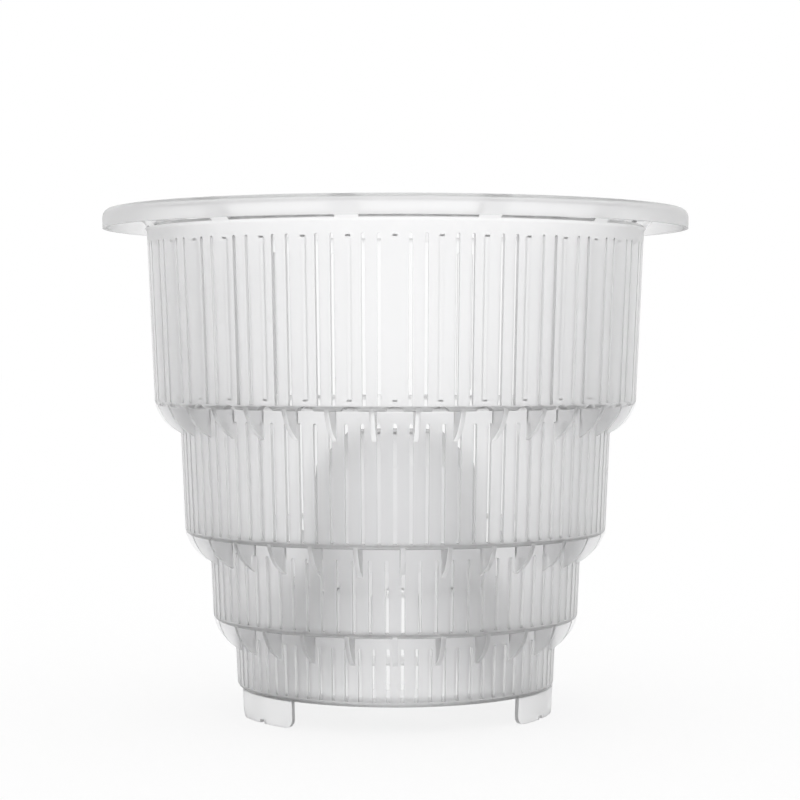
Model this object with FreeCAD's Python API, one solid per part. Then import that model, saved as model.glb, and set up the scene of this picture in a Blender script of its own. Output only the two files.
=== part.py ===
import FreeCAD, Part
import math
import os

# Hydroponic net pot with an inner air cone, injection moulded in one piece of clear polypropylene.
# Millimetres and degrees. +Z is up, the feet stand on z = 0, and the pot's axis is the Z axis.
# Azimuths are measured from the pot's front, which is -Y, and grow towards +X.
# The side walls and the cone are rings of flat staves, one for each upright line of slots. They
# keep within 0.08 mm of round. The brim and its skirt are truly round.

# ---- wall ----
wall = 1.3                  # thickness of every wall, shelf and floor
side_draft = 2.5            # lean of the four tiers, so that the pot leaves its mould

# ---- feet ----
foot_height = 7.8
foot_count = 3
foot_width = 28.0
foot_turn = 65.0            # azimuth of the first foot
foot_corner = 2.8           # rounding of a foot's two lower corners
foot_notch_width = 2.8
foot_notch_depth = 1.1

# ---- four tiers, from the base up: heights, and the steps by which each hangs over the last ----
base_radius = 48.9          # outside radius of the lowest tier at its foot
tier_4_height = 20.9
tier_3_step = 6.5
tier_3_height = 26.4
tier_2_step = 7.45
tier_2_height = 39.4
tier_1_step = 7.55
tier_1_height = 53.3

# ---- brim: a 45 degree flare, a flat rim and a hanging skirt ----
flare_rise = 5.3
brim_overhang = 13.5        # from the top tier's head out to the brim's edge
brim_chamfer = 0.8          # bevel of the brim's outer top edge
skirt_depth = 5.9           # how far the skirt hangs below the brim's top face
flare_slots = 12
flare_bridge = 5.0          # solid bridge between two flare slots, degrees
flare_margin = 0.9          # plain flare left below and above the slots, along its slope
flare_turn = 5.0            # azimuth of the first flare slot's centre

# ---- bays: each has three upright lines, and a gusset under the step stands between two bays ----
lines_per_bay = 3
tier_4_bays = 25
tier_3_bays = 25
tier_2_bays = 30
tier_1_bays = 36
tier_4_turn = 7.2           # azimuth of the middle of the first bay
tier_3_turn = 7.2
tier_2_turn = 8.0
tier_1_turn = 0.0

# ---- slots and root guides ----
slot_width = 1.1
slot_slope = 0.3            # fall of a slot's ends across the wall, towards the outside
slot_foot_margin = 1.6      # plain wall between a step's lower corner and the slots' lower ends
slot_head_margin = 3.6      # plain wall between the slots' upper ends and the tier's head
guide_width = 1.35          # the middle line of a top tier bay is a root guide on the inner face
guide_depth = 0.9

# ---- gussets under the steps ----
gusset_thickness = 1.4
gusset_drop = 8.6           # height of a gusset on the lower tier's wall
gusset_bulge = 1.2          # how far the knee of a gusset's free edge stands out from its chord
gusset_setback = 0.2        # from the step's outer corner

# ---- inner cone: two stages with sloping shoulders, measured on its underside ----
cone_draft = 5.2
cone_foot_radius = 35.8
cone_lower_height = 29.6    # from the base to the lower stage's shoulder
cone_shoulder = 7.1         # 45 degree shoulder between the stages
cone_upper_height = 31.2
cone_cap = 9.6              # 45 degree cap edge round the flat top
cone_staves = 50

FRONT = -90.0               # direction of the pot's front in the XY plane
AXIS = FreeCAD.Vector(0, 0, 1)
ORIGIN = FreeCAD.Vector()
OVERRUN = 0.6               # how far a cutting tool stands out of the wall that it cuts
FLAT = 1e-6                 # rings this close in height lie in one plane


def lean(height, draft):
    """How far a drafted wall of this height leans."""
    return height * math.tan(math.radians(draft))


def at(azimuth, r, z):
    """Point at an azimuth from the front, a radius and a height."""
    angle = math.radians(FRONT + azimuth)
    return FreeCAD.Vector(r * math.cos(angle), r * math.sin(angle), z)


def loop_face(points):
    """Plane face inside a loop of points."""
    return Part.Face(Part.makePolygon(points + points[:1]))


def solid_of(faces):
    """Solid inside a closed set of faces."""
    return Part.Solid(Part.Shell(faces))


def turned(shape, azimuth):
    """Copy of a shape, turned on round the axis."""
    copy = shape.copy()
    copy.rotate(ORIGIN, AXIS, azimuth)
    return copy


def ring_of(shape, count, first):
    """Copies of a shape built at the front, at even azimuths round the axis."""
    return [turned(shape, first + 360.0 * index / count) for index in range(count)]


def wedge(outline, width, radius):
    """Flat-faced radial solid from an (r, z) outline at the front, this wide at a radius."""
    half = math.degrees(math.asin(width / 2.0 / radius))
    left = [at(-half, r, z) for r, z in outline]
    right = [at(half, r, z) for r, z in outline]
    faces = [loop_face(left), loop_face(right)]
    for index in range(len(outline)):
        faces.append(loop_face([left[index - 1], left[index], right[index], right[index - 1]]))
    return solid_of(faces)


class Staves:
    """How a ring is divided: a number of flat staves, and the azimuth of one stave's middle."""

    def __init__(self, count, turn):
        self.count = count
        self.turn = turn

    def corners(self, r, z):
        """Corners of the ring's polygon on a circle of this radius."""
        half = 180.0 / self.count
        return [at(self.turn + half + 2.0 * half * index, r, z) for index in range(self.count)]

    def reach(self, azimuth):
        """Distance of a stave from the axis at an azimuth, as a share of the corners' radius."""
        half = 180.0 / self.count
        aside = (azimuth - self.turn + half) % (2.0 * half) - half
        return math.cos(math.radians(half)) / math.cos(math.radians(aside))


class Line:
    """One line round the wall's section: a polygon of staves, or a circle where there are none."""

    def __init__(self, r, z, staves=None):
        self.r = r
        self.z = z
        self.staves = staves

    def wire(self):
        """The closed line itself."""
        if self.staves is None:
            centre = FreeCAD.Vector(0, 0, self.z)
            return Part.Wire(Part.Circle(centre, AXIS, self.r).toShape())
        corners = self.staves.corners(self.r, self.z)
        return Part.makePolygon(corners + corners[:1])

    def faces_to(self, other):
        """Faces of the band between this line and the next."""
        if abs(self.z - other.z) < FLAT:
            return [Part.makeFace([self.wire(), other.wire()], "Part::FaceMakerBullseye")]
        if self.staves is None:
            start = FreeCAD.Vector(self.r, 0, self.z)
            end = FreeCAD.Vector(other.r, 0, other.z)
            return [Part.makeLine(start, end).revolve(ORIGIN, AXIS, 360)]
        a = self.staves.corners(self.r, self.z)
        b = other.staves.corners(other.r, other.z)
        return [loop_face([a[i - 1], a[i], b[i], b[i - 1]]) for i in range(len(a))]


def bands(lines):
    """Faces of all bands between neighbouring lines."""
    faces = []
    for line, after in zip(lines, lines[1:]):
        faces += line.faces_to(after)
    return faces


def offset(lines, distance):
    """The lines of a section moved to its left by a distance, with mitred corners."""
    normals = []
    for line, after in zip(lines, lines[1:]):
        length = math.hypot(after.r - line.r, after.z - line.z)
        normals.append((-(after.z - line.z) / length, (after.r - line.r) / length))
    moved = []
    for index, line in enumerate(lines):
        before = normals[max(index - 1, 0)]
        after = normals[min(index, len(normals) - 1)]
        scale = distance / (1.0 + before[0] * after[0] + before[1] * after[1])
        r = line.r + (before[0] + after[0]) * scale
        z = line.z + (before[1] + after[1]) * scale
        moved.append(Line(r, z, line.staves))
    return moved


class Tier:
    """One of the pot's four slotted side walls. It hangs a step out from the tier below."""

    def __init__(self, foot, height, radius, bays, turn):
        self.foot = foot
        self.head = foot + height
        self.radius = radius
        self.bays = bays
        self.turn = turn
        self.pitch = 360.0 / (bays * lines_per_bay)
        self.staves = Staves(bays * lines_per_bay, turn)

    def outside(self, z):
        """Outside radius of the wall at a height."""
        return self.radius + lean(z - self.foot, side_draft)

    def inside(self, z):
        """Inside radius of the wall at a height."""
        return self.outside(z) - wall / math.cos(math.radians(side_draft))

    def line(self, z):
        """Line round the wall's outside at a height."""
        return Line(self.outside(z), z, self.staves)

    def band(self, low, high, inner, outer, slope=0.0):
        """Outline that follows the wall, from inside - inner to outside + outer.

        The lower end rises by slope towards the inside, and the upper end falls by as much.
        """
        return [
            (self.inside(low) - inner, low + slope),
            (self.outside(low) + outer, low),
            (self.outside(high) + outer, high),
            (self.inside(high) - inner, high - slope),
        ]


def tier_above(lower, step, height, bays, turn):
    """Tier that hangs over another by a step."""
    return Tier(lower.head, height, lower.outside(lower.head) + step, bays, turn)


tier_4 = Tier(foot_height, tier_4_height, base_radius, tier_4_bays, tier_4_turn)
tier_3 = tier_above(tier_4, tier_3_step, tier_3_height, tier_3_bays, tier_3_turn)
tier_2 = tier_above(tier_3, tier_2_step, tier_2_height, tier_2_bays, tier_2_turn)
tier_1 = tier_above(tier_2, tier_1_step, tier_1_height, tier_1_bays, tier_1_turn)
tiers = [tier_4, tier_3, tier_2, tier_1]

flare_foot_radius = tier_1.outside(tier_1.head)
brim_radius = flare_foot_radius + brim_overhang
brim_underside = tier_1.head + flare_rise
brim_height = brim_underside + wall

cone_shoulder_z = foot_height + cone_lower_height
cone_shoulder_radius = cone_foot_radius - lean(cone_lower_height, cone_draft)
cone_neck_z = cone_shoulder_z + cone_shoulder
cone_neck_radius = cone_shoulder_radius - cone_shoulder
cone_cap_z = cone_neck_z + cone_upper_height
cone_cap_radius = cone_neck_radius - lean(cone_upper_height, cone_draft)
cone_ring = Staves(cone_staves, 180.0 / cone_staves)


def shell():
    """The moulded wall: one section of even thickness, carried round the axis."""
    underside = [
        Line(cone_cap_radius - cone_cap, cone_cap_z + cone_cap, cone_ring),
        Line(cone_cap_radius, cone_cap_z, cone_ring),
        Line(cone_neck_radius, cone_neck_z, cone_ring),
        Line(cone_shoulder_radius, cone_shoulder_z, cone_ring),
        Line(cone_foot_radius, foot_height, cone_ring),
    ]
    for tier in tiers:
        underside.append(tier.line(tier.foot))
        underside.append(tier.line(tier.head))
    underside.append(Line(flare_foot_radius + flare_rise, brim_underside, tier_1.staves))
    underside.append(Line(brim_radius - wall, brim_underside))
    underside.append(Line(brim_radius - wall, brim_height - skirt_depth))
    axis_point = Line(0.0, cone_cap_z + cone_cap)
    topside = offset([axis_point] + underside, wall)[1:]
    rim = [
        topside[-1],
        Line(brim_radius, brim_height - brim_chamfer),
        Line(brim_radius - brim_chamfer, brim_height),
    ]
    faces = bands(underside + rim + topside[-3::-1])
    faces += [Part.Face(underside[0].wire()), Part.Face(topside[0].wire())]
    return solid_of(faces)


def slots(tier):
    """Cutting tools of a tier's upright slots. The top tier's middle lines stay closed."""
    low = tier.foot + slot_foot_margin
    high = tier.head - slot_head_margin
    tool = wedge(tier.band(low, high, OVERRUN, OVERRUN, slot_slope), slot_width, tier.radius)
    tools = []
    for line in range(lines_per_bay):
        place = line - lines_per_bay // 2
        if tier is tier_1 and place == 0:
            continue
        tools += ring_of(tool, tier.bays, tier.turn + place * tier.pitch)
    return tools


def guides(tier):
    """Root guides: low upright ribs on a tier's inner face, one in the middle of each bay."""
    low = tier.foot + slot_foot_margin + guide_depth
    high = tier.head - slot_head_margin
    outline = tier.band(low, high, guide_depth, -wall / 2.0, guide_depth)
    return ring_of(wedge(outline, guide_width, tier.radius), tier.bays, tier.turn)


def gussets(upper, lower):
    """Thin radial plates with a kneed free edge, under the step between two tiers."""
    top = upper.foot + wall / 2.0
    tip = FreeCAD.Vector(upper.radius - gusset_setback, 0, upper.foot)
    toe_z = upper.foot - gusset_drop
    toe = FreeCAD.Vector(lower.outside(toe_z), 0, toe_z)
    chord = toe - tip
    outward = FreeCAD.Vector(-chord.z, 0, chord.x).normalize()
    knee = (tip + toe) / 2.0 + outward * gusset_bulge
    root = toe.x - wall / 2.0
    root_z = toe.z + (toe.z - knee.z) * (root - toe.x) / (toe.x - knee.x)
    outline = [(root, top), (root, root_z), (knee.x, knee.z), (tip.x, tip.z), (tip.x, top)]
    plate = wedge(outline, gusset_thickness, upper.radius)
    return ring_of(plate, upper.bays, upper.turn + 180.0 / upper.bays)


def flare_openings():
    """Cutting tools of the long slots in the flare, square to its 45 degree slope.

    A tool turns by one stave at a time, so that its sides stay along the staves.
    """
    along = math.sqrt(0.5)
    low = flare_margin * along
    high = flare_rise - flare_margin * along
    across = (wall + OVERRUN) * along
    out = OVERRUN * along
    outline = [
        (flare_foot_radius + low + out, tier_1.head + low - out),
        (flare_foot_radius + high + out, tier_1.head + high - out),
        (flare_foot_radius + high - across, tier_1.head + high + across),
        (flare_foot_radius + low - across, tier_1.head + low + across),
    ]
    half_span = 180.0 / flare_slots - flare_bridge / 2.0
    tools = []
    for index in range(flare_slots):
        start = flare_turn + 360.0 * index / flare_slots - half_span
        end = start + 2.0 * half_span
        corner = tier_1.turn + tier_1.pitch * (math.floor((start - tier_1.turn) / tier_1.pitch) + 0.5)
        azimuths = [start]
        while corner < end - FLAT:
            if corner > start + FLAT:
                azimuths.append(corner)
            corner += tier_1.pitch
        azimuths.append(end)
        rows = [[at(a, r * tier_1.staves.reach(a), z) for r, z in outline] for a in azimuths]
        faces = [loop_face(rows[0]), loop_face(rows[-1])]
        for row, after in zip(rows, rows[1:]):
            for side in range(len(outline)):
                faces.append(loop_face([row[side - 1], row[side], after[side], after[side - 1]]))
        tools.append(solid_of(faces))
    return tools


def foot():
    """One foot: an arc of the lowest wall carried down, with rounded corners and a notch."""
    head = foot_height + wall / 2.0
    lines = [Line(r, z, tier_4.staves) for r, z in tier_4.band(0.0, head, 0.0, 0.0)]
    ring = turned(solid_of(bands(lines + lines[:1])), -foot_turn)
    half = foot_width / 2.0
    notch = foot_notch_width / 2.0
    depth = 2.0 * wall
    y = -(tier_4.radius + depth)
    corners = [
        (-half, 0.0), (-notch, 0.0), (-notch, foot_notch_depth), (notch, foot_notch_depth),
        (notch, 0.0), (half, 0.0), (half, head), (-half, head),
    ]
    face = loop_face([FreeCAD.Vector(x, y, z) for x, z in corners])
    block = face.extrude(FreeCAD.Vector(0, 3.0 * depth + wall, 0))
    lower_corners = [
        edge for edge in block.Edges
        if edge.BoundBox.ZMax < FLAT and edge.BoundBox.XLength < FLAT
        and abs(abs(edge.BoundBox.XMin) - half) < FLAT
    ]
    return block.makeFillet(foot_corner, lower_corners).common(ring).Solids[0]


def net_pot():
    """The whole pot: the shell with its plates and feet added and its openings cut."""
    added = guides(tier_1)
    for upper, lower in ((tier_1, tier_2), (tier_2, tier_3), (tier_3, tier_4)):
        added += gussets(upper, lower)
    added += ring_of(foot(), foot_count, foot_turn)
    cut = flare_openings()
    for tier in tiers:
        cut += slots(tier)
    return shell().fuse(added).cut(cut).Solids[0]


os.makedirs("parts", exist_ok=True)
net_pot().exportStep("parts/net_pot.step")
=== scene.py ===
"""Clear stepped net pot for hydroponics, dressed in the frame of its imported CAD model.

The pot is one moulding of clear polypropylene: a wide brim with a hanging skirt, four slotted
tiers with gussets under their steps, three feet and an inner air cone. Sizes are millimetres
until a mesh is written, and azimuths are degrees from the pot's front, growing towards +X.
"""

import logging
import math
from dataclasses import dataclass, field
from enum import Enum
from typing import Any

import bmesh
import bpy
from mathutils import Matrix, Vector


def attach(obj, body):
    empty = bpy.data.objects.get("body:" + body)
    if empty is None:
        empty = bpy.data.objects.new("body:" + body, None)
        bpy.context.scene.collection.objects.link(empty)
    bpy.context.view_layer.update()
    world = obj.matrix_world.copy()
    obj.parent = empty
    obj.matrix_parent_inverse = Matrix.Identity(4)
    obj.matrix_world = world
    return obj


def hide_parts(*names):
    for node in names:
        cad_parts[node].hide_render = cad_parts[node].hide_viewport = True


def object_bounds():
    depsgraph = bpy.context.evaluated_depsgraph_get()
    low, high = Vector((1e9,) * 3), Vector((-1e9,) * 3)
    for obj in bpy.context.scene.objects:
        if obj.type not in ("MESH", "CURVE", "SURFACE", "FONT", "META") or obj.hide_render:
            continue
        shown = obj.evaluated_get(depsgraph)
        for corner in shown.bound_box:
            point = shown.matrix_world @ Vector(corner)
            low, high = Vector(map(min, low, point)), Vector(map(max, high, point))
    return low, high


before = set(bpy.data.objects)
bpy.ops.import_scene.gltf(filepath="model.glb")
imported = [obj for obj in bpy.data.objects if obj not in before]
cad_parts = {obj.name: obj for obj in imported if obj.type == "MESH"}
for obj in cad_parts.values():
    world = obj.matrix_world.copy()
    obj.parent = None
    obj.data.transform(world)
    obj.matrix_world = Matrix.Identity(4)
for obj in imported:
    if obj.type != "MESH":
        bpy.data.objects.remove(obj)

CAD_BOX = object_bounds()
NODE = "net_pot"
MM = 0.001
FRONT = -90.0
WALL = 1.3          # thickness of every wall of the moulding
OVERRUN = 0.6       # how far a cutting shape stands out of a face that it cuts
ON_AXIS = 1e-6      # a point this near the axis lies on it
STRAIGHT = 1.55     # half angle, in radians, above which a corner is left sharp

Point = tuple[float, float]

log = logging.getLogger("net_pot")


class Side(Enum):
    """What a ring of small shapes does to the moulding."""

    ADD = "UNION"
    CUT = "DIFFERENCE"


class Socket:
    """A shader socket that takes part in Python arithmetic."""

    def __init__(self, graph: "Graph", link: Any) -> None:
        """Wrap an output socket.

        Args:
            graph: the graph that new Math nodes go into.
            link: the output socket.
        """
        self.graph = graph
        self.link = link

    def math(self, operation: str, *operands: Any) -> "Socket":
        """One Math node on this socket.

        Args:
            operation: the Math node's operation.
            operands: further numbers or sockets.

        Returns:
            The result's socket.
        """
        values = {index + 1: operand for index, operand in enumerate(operands)}
        return self.graph.node(
            "ShaderNodeMath", {"operation": operation}, {0: self, **values}
        )

    def __add__(self, other: Any) -> "Socket":
        """Sum."""
        return self.math("ADD", other)

    __radd__ = __add__

    def __mul__(self, other: Any) -> "Socket":
        """Product."""
        return self.math("MULTIPLY", other)

    __rmul__ = __mul__


class Graph:
    """A node tree that is built from Python."""

    def __init__(self, tree: bpy.types.NodeTree) -> None:
        """Start on an emptied tree.

        Args:
            tree: the tree to fill.
        """
        self.tree = tree
        tree.nodes.clear()

    def place(self, kind: str, settings: dict[str, Any], values: dict[Any, Any]) -> Any:
        """Add one node.

        Args:
            kind: the node's type.
            settings: its own properties, and "stops" for a ramp, which are set first.
            values: numbers or sockets by input name or index.

        Returns:
            The node.
        """
        node = self.tree.nodes.new(kind)
        for name, value in settings.items():
            if name == "stops":
                self.fill_ramp(node.color_ramp, value)
            else:
                setattr(node, name, value)
        for name, value in values.items():
            target = node.inputs[name]
            if isinstance(value, Socket):
                self.tree.links.new(value.link, target)
            else:
                target.default_value = value
        return node

    @staticmethod
    def fill_ramp(ramp: bpy.types.ColorRamp, stops: list[tuple[float, float]]) -> None:
        """Set a ramp's grey stops.

        Args:
            ramp: the ramp.
            stops: position and grey value of each stop.
        """
        while len(ramp.elements) > 1:
            ramp.elements.remove(ramp.elements[-1])
        ramp.elements[0].position = stops[0][0]
        ramp.elements[0].color = (stops[0][1],) * 3 + (1.0,)
        for position, grey in stops[1:]:
            ramp.elements.new(position).color = (grey, grey, grey, 1.0)

    def node(
        self,
        kind: str,
        settings: dict[str, Any] | None = None,
        values: dict[Any, Any] | None = None,
        output: Any = 0,
    ) -> Socket:
        """Add one node and return one of its outputs.

        Args:
            kind: the node's type.
            settings: its own properties.
            values: numbers or sockets by input name or index.
            output: name or index of the output.

        Returns:
            The output's socket.
        """
        return Socket(self, self.place(kind, settings or {}, values or {}).outputs[output])


@dataclass(frozen=True)
class ClearPolypropylene:
    """Clear moulded polypropylene: faintly milky and cool, with a soft gloss."""

    name: str = "clear_polypropylene"
    tint: tuple[float, float, float] = (0.996, 0.996, 0.998)
    haze_tint: tuple[float, float, float] = (0.988, 0.988, 0.992)
    ior: float = 1.49
    roughness: float = 0.32
    roughness_spread: float = 0.08
    haze_scale: float = 38.0
    haze_detail: float = 3.0
    haze_roughness: float = 0.55
    ripple_scale: float = 90.0
    ripple_detail: float = 2.0
    ripple_height: float = 0.00002

    def build(self) -> bpy.types.Material:
        """Make the material.

        Returns:
            The material.
        """
        material = bpy.data.materials.new(self.name)
        material.use_nodes = True
        graph = Graph(material.node_tree)
        place = graph.node("ShaderNodeTexCoord", output="Object")
        haze = graph.node(
            "ShaderNodeTexNoise",
            {},
            {
                "Vector": place,
                "Scale": self.haze_scale,
                "Detail": self.haze_detail,
                "Roughness": self.haze_roughness,
            },
            "Fac",
        )
        ripple = graph.node(
            "ShaderNodeTexNoise",
            {},
            {"Vector": place, "Scale": self.ripple_scale, "Detail": self.ripple_detail},
            "Fac",
        )
        colour = graph.node(
            "ShaderNodeMix",
            {"data_type": "RGBA"},
            {0: haze, 6: (*self.tint, 1.0), 7: (*self.haze_tint, 1.0)},
            2,
        )
        bump = graph.node(
            "ShaderNodeBump",
            {},
            {"Height": ripple, "Distance": self.ripple_height, "Strength": 1.0},
        )
        smoothest = self.roughness - self.roughness_spread / 2.0
        shader = graph.node(
            "ShaderNodeBsdfPrincipled",
            {},
            {
                "Base Color": colour,
                "Roughness": haze * self.roughness_spread + smoothest,
                "IOR": self.ior,
                "Transmission Weight": 1.0,
                "Normal": bump,
            },
        )
        graph.place("ShaderNodeOutputMaterial", {}, {"Surface": shader})
        return material


class EvenRing:
    """Geometry Nodes tree that sets copies of a shape at even azimuths round the axis."""

    def __init__(self) -> None:
        """Build the tree."""
        tree = bpy.data.node_groups.new("even_ring", "GeometryNodeTree")
        self.tree = tree
        self.sockets: dict[str, str] = {}
        for name, kind in (
            ("Shape", "NodeSocketGeometry"),
            ("Copies", "NodeSocketInt"),
            ("First azimuth", "NodeSocketFloat"),
            ("Finish", "NodeSocketMaterial"),
        ):
            item = tree.interface.new_socket(name, in_out="INPUT", socket_type=kind)
            self.sockets[name] = item.identifier
        tree.interface.new_socket("Ring", in_out="OUTPUT", socket_type="NodeSocketGeometry")
        graph = Graph(tree)
        given = graph.place("NodeGroupInput", {}, {})
        shape, copies, first, finish = [
            Socket(graph, given.outputs[name]) for name in self.sockets
        ]
        points = graph.node("GeometryNodePoints", {}, {"Count": copies})
        index = graph.node("GeometryNodeInputIndex")
        angle = index * math.tau
        angle = angle.math("DIVIDE", copies) + first
        turn = graph.node("ShaderNodeCombineXYZ", {}, {"Z": angle})
        rotation = graph.node("FunctionNodeEulerToRotation", {}, {0: turn})
        placed = graph.node(
            "GeometryNodeInstanceOnPoints",
            {},
            {"Points": points, "Instance": shape, "Rotation": rotation},
        )
        real = graph.node("GeometryNodeRealizeInstances", {}, {0: placed})
        dressed = graph.node(
            "GeometryNodeSetMaterial", {}, {"Geometry": real, "Material": finish}
        )
        graph.place("NodeGroupOutput", {}, {0: dressed})

    def make(
        self, name: str, shape: bpy.types.Mesh, copies: int, azimuth: float,
        finish: bpy.types.Material,
    ) -> bpy.types.Object:
        """Set copies of a shape round the axis.

        Args:
            name: name of the new object.
            shape: mesh at azimuth 0 of the XZ half plane.
            copies: how many.
            azimuth: azimuth of the first, in degrees from the front.
            finish: their material.

        Returns:
            An object with the plain mesh of all copies.
        """
        source = bpy.data.objects.new(name, shape)
        bpy.context.scene.collection.objects.link(source)
        modifier = source.modifiers.new("ring", "NODES")
        modifier.node_group = self.tree
        modifier[self.sockets["Copies"]] = copies
        modifier[self.sockets["First azimuth"]] = math.radians(FRONT + azimuth)
        modifier[self.sockets["Finish"]] = finish
        mesh = baked(source)
        source.modifiers.clear()
        source.data = mesh
        return source


def baked(source: bpy.types.Object) -> bpy.types.Mesh:
    """Plain mesh of an object with its modifiers applied.

    Args:
        source: the object.

    Returns:
        The new mesh.
    """
    graph = bpy.context.evaluated_depsgraph_get()
    graph.update()
    return bpy.data.meshes.new_from_object(
        source.evaluated_get(graph), preserve_all_data_layers=True, depsgraph=graph
    )


def rounded(corners: list[tuple[float, float, float]], steps: int = 4) -> list[Point]:
    """Round the corners of an open (r, z) polyline.

    Args:
        corners: r, z and rounding radius of each corner.
        steps: edges along each rounding.

    Returns:
        The rounded polyline's points.
    """
    points: list[Point] = [corners[0][:2]]
    for before, here, after in zip(corners, corners[1:], corners[2:]):
        point = Vector(here[:2])
        to_before = Vector(before[:2]) - point
        to_after = Vector(after[:2]) - point
        radius = here[2]
        half = to_before.angle(to_after) / 2.0
        if radius <= 0.0 or half > STRAIGHT:
            points.append(tuple(point))
            continue
        reach = radius / math.tan(half)
        centre = point + (to_before.normalized() + to_after.normalized()).normalized() * (
            radius / math.sin(half)
        )
        start = point + to_before.normalized() * reach - centre
        sweep = (math.pi - 2.0 * half) * (1.0 if start.cross(to_after) > 0.0 else -1.0)
        for step in range(steps + 1):
            turned = start.copy()
            turned.rotate(Matrix.Rotation(sweep * step / steps, 2))
            points.append(tuple(centre + turned))
    points.append(corners[-1][:2])
    return points


def prism(name: str, outline: list[Point], inner: float, outer: float) -> bpy.types.Mesh:
    """Solid with an upright outline, drawn out along the radius at azimuth 0.

    Args:
        name: the mesh's name.
        outline: across and up coordinates.
        inner: radius of its inner face.
        outer: radius of its outer face.

    Returns:
        The mesh, in metres.
    """
    shape = bmesh.new()
    near = [shape.verts.new((inner * MM, y * MM, z * MM)) for y, z in outline]
    far = [shape.verts.new((outer * MM, y * MM, z * MM)) for y, z in outline]
    shape.faces.new(near)
    shape.faces.new(far)
    for index in range(len(outline)):
        shape.faces.new((near[index - 1], near[index], far[index], far[index - 1]))
    return closed(name, shape)


def plate(name: str, outline: list[Point], width: float) -> bpy.types.Mesh:
    """Upright radial plate of an (r, z) outline at azimuth 0.

    Args:
        name: the mesh's name.
        outline: radius and height of each corner.
        width: the plate's thickness.

    Returns:
        The mesh, in metres.
    """
    half = width / 2.0 * MM
    shape = bmesh.new()
    left = [shape.verts.new((r * MM, -half, z * MM)) for r, z in outline]
    right = [shape.verts.new((r * MM, half, z * MM)) for r, z in outline]
    shape.faces.new(left)
    shape.faces.new(right)
    for index in range(len(outline)):
        shape.faces.new((left[index - 1], left[index], right[index], right[index - 1]))
    return closed(name, shape)


def closed(name: str, shape: bmesh.types.BMesh) -> bpy.types.Mesh:
    """Write a closed mesh whose faces point outwards.

    Args:
        name: the mesh's name.
        shape: the shape, which is freed.

    Returns:
        The mesh.
    """
    bmesh.ops.recalc_face_normals(shape, faces=shape.faces[:])
    mesh = bpy.data.meshes.new(name)
    shape.to_mesh(mesh)
    shape.free()
    return mesh


def revolved(name: str, section: list[Point], segments: int) -> bpy.types.Mesh:
    """Closed solid of revolution of a closed (r, z) section.

    Args:
        name: the mesh's name.
        section: the section's points, two of them on the axis.
        segments: facets round the axis.

    Returns:
        The mesh, in metres.
    """
    shape = bmesh.new()
    rings: list[list[bmesh.types.BMVert]] = []
    for r, z in section:
        if r < ON_AXIS:
            rings.append([shape.verts.new((0.0, 0.0, z * MM))] * segments)
            continue
        ring = []
        for index in range(segments):
            angle = math.tau * index / segments
            ring.append(
                shape.verts.new((r * MM * math.cos(angle), r * MM * math.sin(angle), z * MM))
            )
        rings.append(ring)
    for index, ring in enumerate(rings):
        below = rings[index - 1]
        if ring[0] is ring[1] and below[0] is below[1]:
            continue
        for step in range(segments):
            corners = [below[step - 1], below[step], ring[step], ring[step - 1]]
            unique = list(dict.fromkeys(corners))
            shape.faces.new(unique)
    return closed(name, shape)


@dataclass
class Tier:
    """One slotted side wall, which hangs a step out from the tier below."""

    name: str
    foot: float
    height: float
    radius: float
    bays: int
    turn: float
    draft: float = 2.5
    wall: float = WALL

    @property
    def head(self) -> float:
        """Height of its upper end."""
        return self.foot + self.height

    @property
    def pitch(self) -> float:
        """Azimuth between two lines of the wall."""
        return 120.0 / self.bays

    def outside(self, z: float) -> float:
        """Outside radius of the wall at a height."""
        return self.radius + (z - self.foot) * math.tan(math.radians(self.draft))

    def inside(self, z: float) -> float:
        """Inside radius of the wall at a height."""
        return self.outside(z) - self.wall / math.cos(math.radians(self.draft))


@dataclass
class Cone:
    """Inner air cone: two drafted stages with sloping shoulders, sizes of its underside."""

    foot_radius: float = 35.8
    draft: float = 5.2
    lower_height: float = 29.6
    shoulder: float = 7.1
    upper_height: float = 31.2
    cap: float = 9.6
    slots: int = 50
    slot_width: float = 1.3
    slot_margin: float = 2.0
    slot_rise: float = 3.0
    slot_overrun: float = 1.0
    rounding: float = 1.6

    def underside(self, base: float) -> list[tuple[float, float, float]]:
        """Corners of the cone's underside from the axis to its foot.

        Args:
            base: height of the pot's base.

        Returns:
            Radius, height and rounding of each corner.
        """
        lean = math.tan(math.radians(self.draft))
        shoulder_radius = self.foot_radius - self.lower_height * lean
        neck_radius = shoulder_radius - self.shoulder
        cap_radius = neck_radius - self.upper_height * lean
        shoulder_z = base + self.lower_height
        neck_z = shoulder_z + self.shoulder
        cap_z = neck_z + self.upper_height
        return [
            (0.0, cap_z + self.cap, 0.0),
            (cap_radius - self.cap, cap_z + self.cap, self.rounding),
            (cap_radius, cap_z, self.rounding),
            (neck_radius, neck_z, self.rounding),
            (shoulder_radius, shoulder_z, self.rounding),
            (self.foot_radius, base, self.rounding),
        ]


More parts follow.
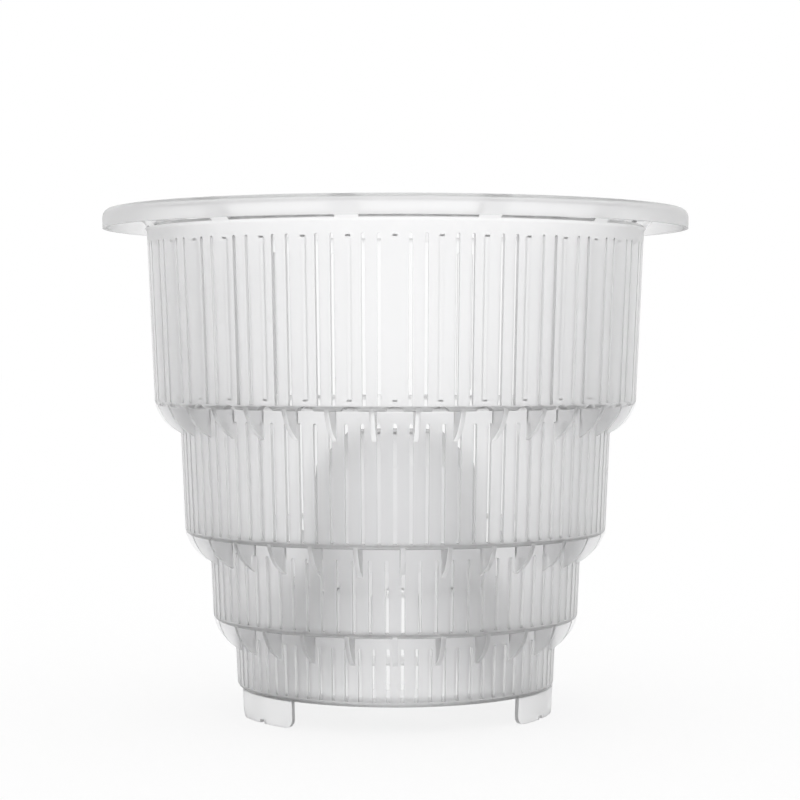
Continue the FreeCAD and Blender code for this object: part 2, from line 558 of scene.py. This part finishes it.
@dataclass
class NetPot:
    """The whole moulding."""

    finish: bpy.types.Material
    ring: EvenRing
    wall: float = WALL
    base: float = 7.8
    base_radius: float = 48.9
    brim_radius: float = CAD_BOX[1][0] / MM - 0.01
    brim_height: float = CAD_BOX[1][2] / MM
    skirt_depth: float = 5.9
    step_rounding: float = 1.6
    head_rounding: float = 0.5
    flare_rounding: float = 1.0
    brim_rounding: float = 1.2
    least_rounding: float = 0.3
    segments: int = 240
    flare_slots: int = 12
    flare_bridge: float = 5.0
    flare_margin: float = 0.9
    flare_turn: float = 5.0
    flare_facets: int = 18
    slot_width: float = 1.1
    slot_foot_margin: float = 1.6
    slot_head_margin: float = 3.6
    slot_overrun: float = 1.5
    guide_width: float = 1.35
    guide_depth: float = 0.9
    gusset_thickness: float = 1.4
    gusset_drop: float = 8.6
    gusset_bulge: float = 1.2
    gusset_setback: float = 0.2
    gusset_facets: int = 6
    drain_width: float = 5.0
    drain_height: float = 1.5
    drain_drop: float = 1.0
    drain_reach: float = 2.4
    drain_facets: int = 8
    foot_width: float = 28.0
    foot_turn: float = 65.0
    foot_count: int = 3
    foot_corner: float = 2.8
    foot_facets: int = 14
    notch_width: float = 2.8
    notch_floor: float = 1.8
    notch_depth: float = 1.1
    sharp_angle: float = 32.0
    cone: Cone = field(default_factory=Cone)

    def __post_init__(self) -> None:
        """Stack the tiers on the base."""
        self.tiers = [Tier("tier_4", self.base, 20.9, self.base_radius, 25, 7.2)]
        for name, step, height, bays, turn in (
            ("tier_3", 6.5, 26.4, 25, 7.2),
            ("tier_2", 7.45, 39.4, 30, 8.0),
            ("tier_1", 7.55, 53.3, 36, 0.0),
        ):
            lower = self.tiers[-1]
            radius = lower.outside(lower.head) + step
            self.tiers.append(Tier(name, lower.head, height, radius, bays, turn))

    def section(self) -> list[Point]:
        """Closed section of the wall, floor, cone and brim."""
        corners = self.cone.underside(self.base)
        for tier in self.tiers:
            corners.append((tier.outside(tier.foot), tier.foot, self.step_rounding))
            corners.append((tier.outside(tier.head), tier.head, self.head_rounding))
        top = self.tiers[-1]
        underside = self.brim_height - self.wall
        rise = underside - top.head
        skirt_radius = self.brim_radius - self.wall
        corners[-1] = (top.outside(top.head), top.head, self.flare_rounding)
        corners.append((top.outside(top.head) + rise, underside, self.flare_rounding))
        corners.append((skirt_radius, underside, self.brim_rounding))
        corners.append((skirt_radius, self.brim_height - self.skirt_depth, 0.0))
        over = rounded(self.moved(corners))
        return rounded(corners) + list(reversed(over))

    def moved(
        self, corners: list[tuple[float, float, float]]
    ) -> list[tuple[float, float, float]]:
        """Corners of the wall's other face.

        Args:
            corners: radius, height and rounding of one face's corners.

        Returns:
            The same for the face one wall away.
        """
        result = []
        normals = []
        for (r0, z0, _), (r1, z1, _) in zip(corners, corners[1:]):
            along = Vector((r1 - r0, z1 - z0)).normalized()
            normals.append(Vector((-along.y, along.x)))
        for index, (r, z, rounding) in enumerate(corners):
            before = normals[max(index - 1, 0)]
            after = normals[min(index, len(normals) - 1)]
            step = (before + after) * self.wall / (1.0 + before.dot(after))
            outer_side = before.cross(after) < 0.0
            grown = max(rounding - self.wall, self.least_rounding)
            if outer_side:
                grown = rounding + self.wall
            result.append((r + step.x, z + step.y, grown if rounding else 0.0))
        return result

    @staticmethod
    def slot_outline(low: float, high: float, width: float, facets: int = 6) -> list[Point]:
        """Upright slot with a rounded head.

        Args:
            low: height of its lower end.
            high: height of its upper end.
            width: its width.
            facets: edges round the head.

        Returns:
            Across and up coordinates.
        """
        half = width / 2.0
        arc = []
        for step in range(facets + 1):
            angle = math.pi * step / facets
            arc.append((half * math.cos(angle), high - half + half * math.sin(angle)))
        return [(-half, low), (half, low)] + arc

    def rings(self) -> list[tuple[Side, bpy.types.Object]]:
        """All rings of small shapes, in the order in which they meet the shell."""
        made: list[tuple[Side, bpy.types.Object]] = []

        def ring(side: Side, name: str, shape: bpy.types.Mesh, copies: int, turn: float) -> None:
            """Make one ring."""
            made.append((side, self.ring.make(name, shape, copies, turn, self.finish)))

        tiers = self.tiers
        for lower, upper in zip(tiers, tiers[1:]):
            shape = self.gusset(upper, lower)
            turn = upper.turn + 180.0 / upper.bays
            ring(Side.ADD, upper.name + "_gussets", shape, upper.bays, turn)
        top = tiers[-1]
        ring(Side.ADD, "root_guides", self.guide(top), top.bays, top.turn)
        ring(Side.ADD, "feet", self.foot(), self.foot_count, self.foot_turn)
        for tier in tiers:
            low = tier.foot + self.slot_foot_margin
            high = tier.head - self.slot_head_margin
            outline = self.slot_outline(low, high, self.slot_width)
            inner = tier.inside(low) - self.slot_overrun
            outer = tier.outside(high) + self.slot_overrun
            for line in (-1, 0, 1):
                if tier is top and line == 0:
                    continue
                shape = prism("slot", outline, inner, outer)
                turn = tier.turn + line * tier.pitch
                ring(Side.CUT, tier.name + "_slots", shape, tier.bays, turn)
        ring(Side.CUT, "drains", self.drain(top), top.bays, top.turn)
        cone_turn = 180.0 / self.cone.slots
        ring(Side.CUT, "cone_slots", self.cone_slot(), self.cone.slots, cone_turn)
        ring(Side.CUT, "flare_slots", self.flare_slot(), self.flare_slots, self.flare_turn)
        return made

    def gusset(self, upper: Tier, lower: Tier) -> bpy.types.Mesh:
        """Radial plate with a curved free edge under a step."""
        root = lower.outside(lower.head) - self.wall / 2.0
        top = upper.foot + self.wall / 2.0
        tip = Vector((upper.radius - self.gusset_setback, upper.foot))
        toe_z = upper.foot - self.gusset_drop
        toe = Vector((lower.outside(toe_z), toe_z))
        chord = toe - tip
        outward = Vector((-chord.y, chord.x)).normalized()
        edge = []
        for step in range(1, self.gusset_facets):
            share = step / self.gusset_facets
            bow = math.sin(math.pi * share) * self.gusset_bulge
            edge.append(tuple(tip + chord * share + outward * bow))
        outline = [(tip.x, top), (root, top), (root, toe_z), tuple(toe)]
        outline += list(reversed(edge)) + [tuple(tip)]
        return plate("gusset", outline, self.gusset_thickness)

    def guide(self, tier: Tier) -> bpy.types.Mesh:
        """Low upright rib on a tier's inner face."""
        low = tier.foot + self.slot_foot_margin + self.guide_depth
        high = tier.head - self.slot_head_margin
        outline = [
            (tier.inside(low) - self.guide_depth, low + self.guide_depth),
            (tier.inside(low) + self.wall / 2.0, low),
            (tier.inside(high) + self.wall / 2.0, high),
            (tier.inside(high) - self.guide_depth, high - self.guide_depth),
        ]
        return plate("guide", outline, self.guide_width)

    def drain(self, tier: Tier) -> bpy.types.Mesh:
        """Opening through a step's shelf and out of its corner."""
        half = self.drain_width / 2.0
        low = tier.foot - self.drain_drop
        outline = [(-half, low), (half, low)]
        for step in range(self.drain_facets + 1):
            angle = math.pi * step / self.drain_facets
            z = tier.foot + self.drain_height * math.sin(angle)
            outline.append((half * math.cos(angle), z))
        inner = tier.inside(tier.foot) - self.drain_reach
        return prism("drain", outline, inner, tier.radius + self.drain_drop)

    def cone_slot(self) -> bpy.types.Mesh:
        """Slot in the cone's lower stage, which runs up over its shoulder."""
        cone = self.cone
        shoulder_radius, shoulder_z, _ = cone.underside(self.base)[-2]
        low = self.base + self.wall + cone.slot_margin
        outline = self.slot_outline(low, shoulder_z + cone.slot_rise, cone.slot_width)
        inner = shoulder_radius - cone.slot_rise - self.wall
        outer = cone.foot_radius + self.wall + cone.slot_overrun
        return prism("cone_slot", outline, inner, outer)

    def flare_slot(self) -> bpy.types.Mesh:
        """Long slot in the flare, square to its 45 degree slope."""
        top = self.tiers[-1]
        foot = top.outside(top.head)
        rise = self.brim_height - self.wall - top.head
        along = math.sqrt(0.5)
        low = self.flare_margin * along
        high = rise - self.flare_margin * along
        across = (self.wall + OVERRUN) * along
        out = OVERRUN * along
        section = [
            (foot + low + out, top.head + low - out),
            (foot + high + out, top.head + high - out),
            (foot + high - across, top.head + high + across),
            (foot + low - across, top.head + low + across),
        ]
        span = math.radians(360.0 / self.flare_slots - self.flare_bridge)
        shape = bmesh.new()
        rings = []
        for step in range(self.flare_facets + 1):
            angle = span * (step / self.flare_facets - 0.5)
            rings.append([
                shape.verts.new((r * MM * math.cos(angle), r * MM * math.sin(angle), z * MM))
                for r, z in section
            ])
        shape.faces.new(rings[0])
        shape.faces.new(rings[-1])
        for before, after in zip(rings, rings[1:]):
            for index in range(len(section)):
                shape.faces.new(
                    (before[index - 1], before[index], after[index], after[index - 1])
                )
        return closed("flare_slot", shape)

    def foot(self) -> bpy.types.Mesh:
        """One foot: an arc of the lowest wall carried down, with rounded corners and a notch."""
        tier = self.tiers[0]
        half = self.foot_width / 2.0
        outline = self.foot_edge(half)
        top = self.base + self.wall / 2.0
        outline += [(half, top), (-half, top)]
        shape = bmesh.new()
        even = [self.foot_width * index / self.foot_facets for index in range(self.foot_facets + 1)]
        stations = sorted(
            {round(-half + y, 4) for y in even} | {round(point[0], 4) for point in outline}
        )
        rows = []
        for y in stations:
            low = self.lowest(outline, y)
            row = []
            for z in (low, top):
                for face in (tier.outside(z), tier.inside(z)):
                    angle = y / tier.radius
                    row.append(shape.verts.new(
                        (face * MM * math.cos(angle), face * MM * math.sin(angle), z * MM)
                    ))
            rows.append(row)
        for before, after in zip(rows, rows[1:]):
            for a, b in ((0, 1), (1, 3), (3, 2), (2, 0)):
                shape.faces.new((before[a], before[b], after[b], after[a]))
        for row in (rows[0], rows[-1]):
            shape.faces.new((row[0], row[1], row[3], row[2]))
        return closed("foot", shape)

    def foot_edge(self, half: float, facets: int = 5) -> list[Point]:
        """Lower edge of a foot laid flat, from one rounded corner over the notch to the other.

        Args:
            half: half of the foot's width.
            facets: edges round each corner.

        Returns:
            Across and up coordinates.
        """
        radius = self.foot_corner
        mouth = self.notch_width / 2.0
        floor = self.notch_floor / 2.0
        corners: list[list[Point]] = []
        for centre, first in ((radius - half, math.pi), (half - radius, 1.5 * math.pi)):
            corner = []
            for step in range(facets + 1):
                angle = first + math.pi / 2.0 * step / facets
                z = radius + radius * math.sin(angle)
                corner.append((centre + radius * math.cos(angle), z))
            corners.append(corner)
        notch = [
            (-mouth, 0.0), (-floor, self.notch_depth), (floor, self.notch_depth), (mouth, 0.0),
        ]
        return corners[0] + notch + corners[1]

    @staticmethod
    def lowest(outline: list[Point], y: float) -> float:
        """Height of an outline's lower edge at a place across it."""
        best = None
        for (y0, z0), (y1, z1) in zip(outline, outline[1:]):
            if y0 <= y <= y1 and y0 < y1:
                share = (y - y0) / (y1 - y0)
                height = z0 + (z1 - z0) * share
                best = height if best is None else min(best, height)
        return best if best is not None else outline[0][1]

    def make(self) -> bpy.types.Object:
        """Mould the pot.

        Returns:
            Its object, at the origin.
        """
        shell = revolved("net_pot_clear", self.section(), self.segments)
        piece = bpy.data.objects.new("net_pot_clear", shell)
        bpy.context.scene.collection.objects.link(piece)
        piece.data.materials.append(self.finish)
        helpers = self.rings()
        for side, helper in helpers:
            modifier = piece.modifiers.new(helper.name, "BOOLEAN")
            modifier.operation = side.value
            modifier.solver = "MANIFOLD"
            modifier.object = helper
        mesh = baked(piece)
        piece.modifiers.clear()
        piece.data = mesh
        for _, helper in helpers:
            bpy.data.objects.remove(helper)
        mesh.shade_smooth()
        mesh.set_sharp_from_angle(angle=math.radians(self.sharp_angle))
        return piece


@dataclass
class Studio:
    """White table, bright surroundings and the camera. Sizes are metres, angles degrees."""

    distance: float = 0.6976
    eye_height: float = 0.1145
    aside: float = 0.0014
    pitch: float = 1.53
    lens: float = 101.2
    sensor: float = 36.0
    table_reach: float = 6.0
    table_gap: float = 0.0002
    table_glow: float = 0.8
    darker_side: float = 0.9
    middle: float = 1.03
    brighter_side: float = 1.1

    def camera(self) -> None:
        """Put the camera in front of the pot."""
        data = bpy.data.cameras.new("camera")
        data.lens = self.lens
        data.sensor_width = self.sensor
        camera = bpy.data.objects.new("camera", data)
        camera.location = (self.aside, -self.distance, self.eye_height)
        camera.rotation_euler = (math.radians(90.0 - self.pitch), 0.0, 0.0)
        bpy.context.scene.collection.objects.link(camera)
        bpy.context.scene.camera = camera

    def table(self) -> None:
        """A wide white floor that keeps the pot's shadow."""
        shape = bmesh.new()
        bmesh.ops.create_grid(shape, x_segments=1, y_segments=1, size=self.table_reach)
        mesh = bpy.data.meshes.new("table")
        shape.to_mesh(mesh)
        shape.free()
        material = bpy.data.materials.new("white_table")
        material.use_nodes = True
        graph = Graph(material.node_tree)
        matt = graph.node("ShaderNodeBsdfDiffuse", {}, {"Color": (0.98, 0.98, 0.98, 1.0)})
        lit = graph.node(
            "ShaderNodeEmission", {}, {"Color": (1.0, 1.0, 1.0, 1.0), "Strength": 1.0}
        )
        rays = graph.place("ShaderNodeLightPath", {}, {})
        seen = Socket(graph, rays.outputs["Is Camera Ray"]).math(
            "MAXIMUM", Socket(graph, rays.outputs["Is Glossy Ray"])
        ).math("MAXIMUM", Socket(graph, rays.outputs["Is Transmission Ray"]))
        glow = seen * self.table_glow
        shown = graph.node("ShaderNodeMixShader", {}, {0: glow, 1: matt, 2: lit})
        graph.place("ShaderNodeOutputMaterial", {}, {"Surface": shown})
        mesh.materials.append(material)
        table = bpy.data.objects.new("table", mesh)
        table.location = (0.0, 0.0, -self.table_gap)
        bpy.context.scene.collection.objects.link(table)

    def world(self) -> None:
        """White behind the pot, and surroundings that darken towards its left and front."""
        world = bpy.data.worlds.new("studio")
        bpy.context.scene.world = world
        world.use_nodes = True
        graph = Graph(world.node_tree)
        rays = graph.place("ShaderNodeLightPath", {}, {})
        seen = Socket(graph, rays.outputs["Is Camera Ray"])
        way = graph.node("ShaderNodeTexCoord", output="Generated")
        split = graph.place("ShaderNodeSeparateXYZ", {}, {0: way})
        side = Socket(graph, split.outputs[0])
        depth = Socket(graph, split.outputs[1])
        level = graph.node(
            "ShaderNodeValToRGB",
            {"stops": [(0.0, self.darker_side), (0.5, self.middle), (1.0, self.brighter_side)]},
            {0: side * 0.25 + depth * 0.25 + 0.5},
        )
        shown = graph.node(
            "ShaderNodeMix", {"data_type": "RGBA"}, {0: seen, 6: level, 7: (1.0, 1.0, 1.0, 1.0)}, 2
        )
        background = graph.node("ShaderNodeBackground", {}, {"Color": shown, "Strength": 1.0})
        graph.place("ShaderNodeOutputWorld", {}, {"Surface": background})

    def make(self) -> None:
        """Set up the studio."""
        scene = bpy.context.scene
        scene.view_settings.view_transform = "Standard"
        self.camera()
        self.table()
        self.world()


def main() -> None:
    """Build the studio and the pot."""
    logging.basicConfig(level=logging.INFO, format="%(name)s: %(message)s")
    Studio().make()
    finish = ClearPolypropylene().build()
    pot = NetPot(finish, EvenRing()).make()
    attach(pot, "root")
    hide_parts(NODE)
    log.info("%s: %d faces", pot.name, len(pot.data.polygons))


if __name__ == "__main__":
    main()
